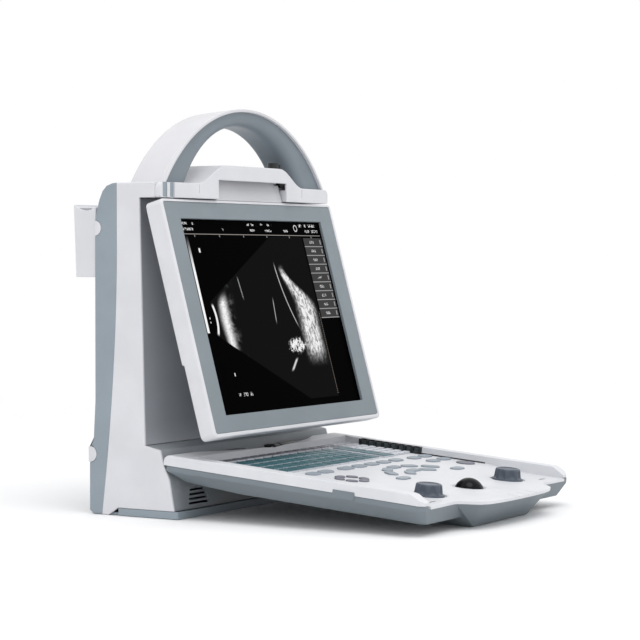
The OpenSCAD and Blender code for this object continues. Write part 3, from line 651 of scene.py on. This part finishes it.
def lathe(name, profile, spokes, world, radius_at=None, caps=True):
    """Turned shape about Z: profile holds (radius, height) in millimetres, with capped ends."""
    rings = []
    for r, z in profile:
        ring = []
        for k in range(spokes):
            turn = 2 * math.pi * k / spokes
            reach = radius_at(r, z, turn) if radius_at else r
            ring.append((reach * MM * math.cos(turn), reach * MM * math.sin(turn), z * MM))
        rings.append(ring)
    return from_rings(name, rings, caps, world)


# ------------------------------------------------------------------- housing
def seam_y(z):
    """Where the seam between front and rear shell runs, at a height in millimetres."""
    return 17.5 + 17.5 * max(0.0, (243 - z) / 243) ** 1.8


def rear_rule(mid):
    """Bevels of the rear shell: wide only on its outer edges behind the seam."""
    outer = abs(abs(mid.x) - HALF_W / MM) < 0.3 and mid.y > seam_y(mid.z) + 1.5
    return 1.6 if outer else 0.35


def front_rule(mid):
    """Bevels of the front shell: narrow at the seam, wider at the top."""
    side = abs(abs(mid.x) - HALF_W / MM) < 0.3
    if side and mid.y > seam_y(mid.z) - 0.5:
        return 0.3
    if side and mid.z > 303:
        return 1.6
    return 1.0 if side else 0.5


def hood_rule(mid):
    """Bevels of the hood; the latch channel at its left end stays square."""
    if mid.x < -125 and mid.y < -26:
        return 0.3 if mid.x < -145 else 0.0
    return 0.9 if mid.y < -24 or mid.z > 303 else 0.4


# The front shell takes the white with painted shade on its low wall and ledge
softened("front_shell", 1.0, front_rule).data.materials[0] = STEP_SHADED_WHITE
softened("rear_shell", 1.0, rear_rule, segments=4)
softened("recess_panel", 0.4)
softened("base_plate", 0.8)
softened("hood_cover", 0.9, hood_rule)
softened("rear_bumpers", 0.8)


def stripe_liner():
    """Grey strip on the floor of the hood's latch channel, finely ribbed."""
    front = [(-143.4 + 0.6 * k, -31.48 if k % 2 else -31.43) for k in range(29)]
    outline = front + [(-126.6, -31.36), (-143.4, -31.36)]
    rings = [[(x * MM, y * MM, z * MM) for x, y in outline] for z in (291.1, 291.3, 304.2, 304.4)]
    mesh = from_rings("hood_stripe_liner", rings)
    placed("hood_stripe_liner", mesh, body=BODY_OF["hood_cover"], slot="grey_plastic")


stripe_liner()
softened("probe_holder", 0.7)
softened("fuse_cap", 0.6)
softened("mains_inlet", 0.4)
softened("power_rocker", 0.5)
softened("latch_slide", 0.25)
softened("hinge_block", 0.8)
softened("keyboard_brackets", 0.5)
softened("keyboard_knuckles", 0.6)
softened("top_jack", 0.3)


def handle_sweep(name, node, profile):
    """Sweeps (centre height, radius, y) points over the arch, cut off level at its feet."""
    steps = 96
    rings = []
    for i in range(steps + 1):
        t = 2 * i / steps - 1
        ring = []
        for centre, r, y in profile:
            reach = math.pi / 2 - math.asin((TOP_Z / MM - centre) / r)
            turn = math.pi / 2 - t * reach
            ring.append((r * math.cos(turn) * MM, y * MM, (centre + r * math.sin(turn)) * MM))
        rings.append(ring)
    return placed(name, smoothed(from_rings(name, rings), 40), node)


# Heights of the centres of the handle's outer arch and of its opening, in millimetres
BAND_Z, OPENING_Z = 208.25, 249.5
band = rounded(
    [(166.9, -30.5), (169.6, -30.5), (169.45, -27.4), (169.0, -26.9), (169.4, -26.2),
     (166.6, 10.4), (160, 10.4), (160, 5.7), (163.7, 5.7)],
    [0.4, 0.8, 0.2, 0.15, 0.3, 2.4, 0.8, 0.2, 0.2])
handle_sweep("handle_band", "handle_shell", [(BAND_Z, r, y) for r, y in band])
grip = [(BAND_Z, 166.8, -27.6), (BAND_Z, 163.6, 5.5)]
grip += [(OPENING_Z, r, y) for r, y in
         curve((116.5, 5.5), (111.5, 5.5), (111.5, 1), 6)
         + curve((111.5, -15), (111.5, -27.6), (122.5, -27.6), 12)]
handle_sweep("handle_inner_grip", "handle_grip", grip)


# -------------------------------------------------------------------- screen
def shell_rule(mid):
    """Bevels of the screen shell: wide on its outside only."""
    local = SCREEN.inverted() @ (mid * MM) / MM
    return 1.3 if abs(local.x) > 147 or local.z > 17 or local.z < -202.5 else 0.4


softened("screen_shell", 1.3, shell_rule, segments=4)
softened("screen_bezel", 0.45)
softened("screen_back", 0.5)
softened("lcd_panel", 0.3)


# ------------------------------------------------------------------ keyboard
def top_rule(mid):
    """Bevels of the keyboard top: only its raised rails."""
    local = KEYBOARD.inverted() @ (mid * MM) / MM
    if abs(local.x) > HALF_W / MM - 0.4 and local.z > 5:
        return 1.1
    if local.z > 6.5:
        return 0.8
    return 0.0


softened("keyboard_top", 1.1, top_rule)
softened("keyboard_base", 1.2, lambda mid: 1.2 if mid.z < 40 else 0.5)
softened("tgc_housing", 0.35)
softened("finger_tab", 0.3)
for i in range(8):
    softened(f"tgc_slider_{i + 1}", 0.3)


def shells_of(bm):
    """Splits a mesh into its separate shells, as lists of faces."""
    left, found = set(bm.faces), []
    while left:
        stack, shell = [left.pop()], []
        while stack:
            face = stack.pop()
            shell.append(face)
            for edge in face.edges:
                for other in edge.link_faces:
                    if other in left:
                        left.remove(other)
                        stack.append(other)
        found.append(shell)
    return found


def key_caps(node):
    """Key caps with rounded shoulders and a shallow dish, one for each key outline in the node."""
    shoulder, shoulder_from, dish = 0.55 * MM, 1.5 * MM, 0.22 * MM
    bm = welded(node)
    bm.transform(KEYBOARD.inverted())
    mesh = None
    for shell in shells_of(bm):
        top = max(shell, key=lambda f: f.calc_center_median().z)
        outline = [v.co.copy() for v in top.verts]
        z_top, z_low = outline[0].z, min(v.co.z for f in shell for v in f.verts)
        middle = sum(outline, Vector()) / len(outline)
        nearest = min((q - middle).length for q in outline)
        levels = [(0.0, z_low), (0.0, z_top - shoulder_from), (0.0, z_top - shoulder)]
        for k in range(1, 5):
            turn = math.pi / 2 * k / 4
            levels.append((shoulder * (1 - math.cos(turn)),
                           z_top - shoulder * (1 - math.sin(turn))))
        for k in (1, 2, 3):
            inward = shoulder + (nearest * 0.72 - shoulder) * k / 3
            levels.append((inward, z_top - dish * math.sin(math.pi / 2 * k / 3)))
        rings = []
        for inward, z in levels:
            ring = []
            for q in outline:
                out = q - middle
                out.z = 0
                ring.append(middle + out * (1 - inward / out.length))
                ring[-1].z = z
            rings.append(ring)
        mesh = from_rings(node + "_caps", rings, world=KEYBOARD, mesh=mesh)
    bm.free()
    return placed(node + "_caps", smoothed(mesh, 50), node)


for row in ("function", "row_1", "row_2", "row_3", "row_4", "small", "oval", "arc", "cursor"):
    caps = key_caps("keys_" + row)
    if row == "cursor":
        caps.data.materials[0] = LOW_DARK


def spot_of(node, height):
    """A node's axis on the keyboard, as axes at the given height above the hinge plane."""
    low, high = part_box(node)
    local = KEYBOARD.inverted() @ ((low + high) / 2)
    return KEYBOARD @ Matrix.Translation((local.x, local.y, height * MM))


# Height of the key field, and places of the ball and the knobs: from the hinge and to each side
DECK = key_top("keys_row_2") / MM - 2.1
CONTROLS_U, KNOB_X = 228, 78


def deck_rim(name, x, radius):
    """Soft rim moulded round a control on the front of the deck."""
    axes = KEYBOARD @ Matrix.Translation((x * MM, -CONTROLS_U * MM, (DECK - FRONT_DROP) * MM))
    section = [(-1.4, -0.15), (-0.7, 0.12), (0, 0.22), (0.7, 0.12), (1.4, -0.15)]
    profile = [(radius + out, up) for out, up in section + section[:1]]
    mesh = smoothed(lathe(name, profile, 96, axes, caps=False), 60)
    placed(name, mesh, body=BODY_OF["keyboard_top"], slot="deck_plastic")


def painted_shadow_strip(name, x, near, far):
    """Painted shade: a dark strip along the foot of the rail's inner wall, standing for the shadow
    in the gap there.
    """
    outline = [(-0.35, -0.2), (0.2, -0.2), (0.2, 1.3), (-0.1, 1.3), (-0.3, 1.15), (-0.35, 0.9)]
    rings = [[((x + dx) * MM, -u * MM, (DECK + dz) * MM) for dx, dz in outline]
             for u in (near, near + 0.4, far - 0.4, far)]
    placed(name, from_rings(name, rings, world=KEYBOARD),
           body=BODY_OF["keyboard_top"], slot="hinge_metal")


deck_rim("ball_rim", 0, 26)
deck_rim("knob_rim_left", -KNOB_X, 18.6)
deck_rim("knob_rim_right", KNOB_X, 18.6)
# Painted shade: a dark strip where shadow falls at the foot of the right rail's inner wall
painted_shadow_strip("painted_shadow_strip_right", 134.0, 68, 176)


# Scallops of a knob: distance of their centres from its axis, and their radius
SCALLOP_AT, SCALLOP_R = 15.2, 4.6


def fluted(r, z, turn):
    """Knob radius: eight scallops pressed into its grip."""
    if z < 2.0:
        return r
    swing = (turn + math.pi / 8) % (math.pi / 4) - math.pi / 8
    across = SCALLOP_AT * math.sin(swing)
    if abs(across) >= SCALLOP_R:
        return r
    scallop = SCALLOP_AT * math.cos(swing) - math.sqrt(SCALLOP_R ** 2 - across ** 2)
    share = min(1.0, (z - 2.0) / 1.5) * (1.0 if z < 8.5 else max(0.0, (10.8 - z) / 2.3))
    return min(r, r + (scallop - r) * share)


KNOB = [(0.3, -6), (4.6, -6), (4.8, -5.8), (4.8, 0), (14.2, 0), (14.6, 0.3), (14.6, 1.0),
        (14.3, 1.4), (13.6, 1.6), (13.0, 1.7), (12.7, 2.1), (12.5, 3), (12.3, 4.5), (12.1, 6),
        (11.9, 7.5), (11.7, 8.7), (11.5, 9.6), (11.2, 10.2), (10.7, 10.6), (10.0, 10.8),
        (9.2, 10.8), (8.8, 10.65), (8.4, 10.3), (7.9, 10.2), (4.0, 10.05), (0.3, 10.0)]
for side in ("left", "right"):
    name = f"knob_{side}"
    axes = spot_of(name, -0.3 - FRONT_DROP)
    placed(name + "_fluted", smoothed(lathe(name, KNOB, 160, axes, fluted), 42), name)

BALL_R, BALL_DEPTH = 14, 5.4
ball_axes = spot_of("trackball", -BALL_DEPTH - FRONT_DROP)
bm = bmesh.new()
bmesh.ops.create_icosphere(bm, subdivisions=6, radius=BALL_R * MM, matrix=ball_axes)
ball = bpy.data.meshes.new("trackball_polished")
bm.to_mesh(ball)
bm.free()
placed("trackball_polished", smoothed(ball), "trackball")

RING = [(16.9, -15), (17, -14.8), (17, 0.2), (16.9, 0.5), (16.6, 0.6), (15.9, 0.6), (15.5, 0.45),
        (15.2, 0.1), (14.6, -0.6), (14.0, -1.15), (13.75, -1.6), (13.9, -2.2), (14.1, -3.2),
        (14.28, -4.4), (14.3, -5.4), (14.25, -6.6), (13.9, -8.8), (13.1, -11.1), (11.8, -13.5),
        (10.8, -15)]
ring = lathe("ball_ring", RING + RING[:1], 128, spot_of("trackball", -FRONT_DROP), caps=False)
placed("ball_ring_turned", smoothed(ring), "ball_ring")


# --------------------------------------------------------- camera and studio
# Lens, place and aim as solved from straight edges in the photo
camera = bpy.data.cameras.new("camera")
camera.lens, camera.sensor_width = 120.53, 36.0
camera.clip_start, camera.clip_end = 0.05, 60.0
eye = bpy.data.objects.new("camera", camera)
eye.location = (-1.7259, -1.1521, 0.2368)
eye.rotation_mode = "QUATERNION"
eye.rotation_quaternion = Vector((0.8558, 0.5164, -0.0295)).to_track_quat("-Z", "Y")
bpy.context.scene.collection.objects.link(eye)
bpy.context.scene.camera = eye
bpy.context.scene.view_settings.view_transform = "Standard"


def studio_floor(radius=9.0, rings=24, spokes=96, level=-0.0003):
    """Round paper floor, finely divided near the object, that turns into white light far out."""
    bm = bmesh.new()
    rows = [[bm.verts.new((0, 0, level))]]
    for k in range(1, rings + 1):
        r = radius * (k / rings) ** 2
        rows.append([bm.verts.new((r * math.cos(2 * math.pi * i / spokes),
                                   r * math.sin(2 * math.pi * i / spokes), level))
                     for i in range(spokes)])
    for i in range(spokes):
        bm.faces.new((rows[0][0], rows[1][i], rows[1][(i + 1) % spokes]))
        for near, wide in zip(rows[1:], rows[2:]):
            bm.faces.new((near[i], wide[i], wide[(i + 1) % spokes], near[(i + 1) % spokes]))
    mesh = bpy.data.meshes.new("studio_floor")
    bm.to_mesh(mesh)
    bm.free()
    floor = bpy.data.objects.new("studio_floor", mesh)
    bpy.context.scene.collection.objects.link(floor)
    p = Paint("studio_floor")
    paper = p.noise(90, 4.0)
    p.set(Base_Color=p.blend(paper, (0.88, 0.88, 0.885), (0.91, 0.91, 0.915)),
          Roughness=paper.ramp(0.0, 1.0, 0.75, 0.85), Specular_IOR_Level=0.2)
    length = p.tree.nodes.new("ShaderNodeVectorMath")
    length.operation = "LENGTH"
    p.tree.links.new(p.coordinates, length.inputs[0])
    far = Sock(p.tree, length.outputs["Value"])
    glow = p.tree.nodes.new("ShaderNodeEmission")
    glow.inputs["Color"].default_value = (1, 1, 1, 1)
    mix = p.tree.nodes.new("ShaderNodeMixShader")
    p.tree.links.new(far.ramp(0.5, 1.5).socket, mix.inputs[0])
    p.tree.links.new(p.shader.outputs[0], mix.inputs[1])
    p.tree.links.new(glow.outputs[0], mix.inputs[2])
    p.tree.links.new(mix.outputs[0], p.tree.nodes["Material Output"].inputs["Surface"])
    mesh.materials.append(p.material)


def soft_light(name, place, aim, size, power):
    """Round white area light at place that shines towards aim."""
    data = bpy.data.lights.new(name, "AREA")
    data.shape, data.size, data.energy = "DISK", size, power
    lamp = bpy.data.objects.new(name, data)
    lamp.location = place
    lamp.rotation_mode = "QUATERNION"
    lamp.rotation_quaternion = (Vector(aim) - Vector(place)).to_track_quat("-Z", "Y")
    bpy.context.scene.collection.objects.link(lamp)


studio_floor()
world = bpy.data.worlds.new("studio")
world.use_nodes = True
world.node_tree.nodes["Background"].inputs["Color"].default_value = (1, 1, 1, 1)
world.node_tree.nodes["Background"].inputs["Strength"].default_value = 1.0
bpy.context.scene.world = world
soft_light("overhead", (-0.5, -0.7, 1.9), (0, -0.1, 0.1), 1.4, 14)
